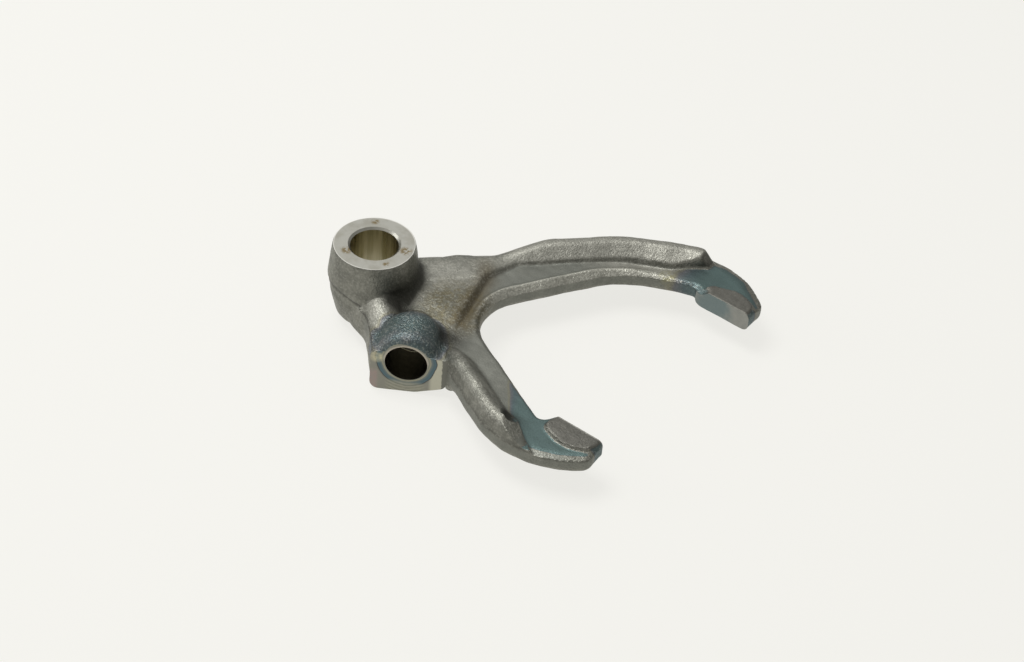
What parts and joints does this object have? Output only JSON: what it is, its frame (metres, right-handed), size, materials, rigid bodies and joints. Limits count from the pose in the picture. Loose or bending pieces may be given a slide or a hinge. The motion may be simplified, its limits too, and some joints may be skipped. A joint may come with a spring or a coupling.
{
  "type": "shift fork",
  "caption": "Forged gearbox shift fork with an upright rail boss, a sideways cross-hole boss and two machined pads on curved arms.",
  "frame": {"origin": "axis of the rail bore, in the parting plane of the forging", "axes": "+Z along the rail bore, out of its tall end; +X from the rail boss to the pads; +Y to the long arm"},
  "size_m": [0.1497, 0.1469, 0.0377],
  "materials": {
    "forged_steel": "shot-blasted forged steel, bare, with machined faces"
  },
  "bodies": {
    "root": {"shift_fork": "forged_steel"}
  },
  "joints": []
}
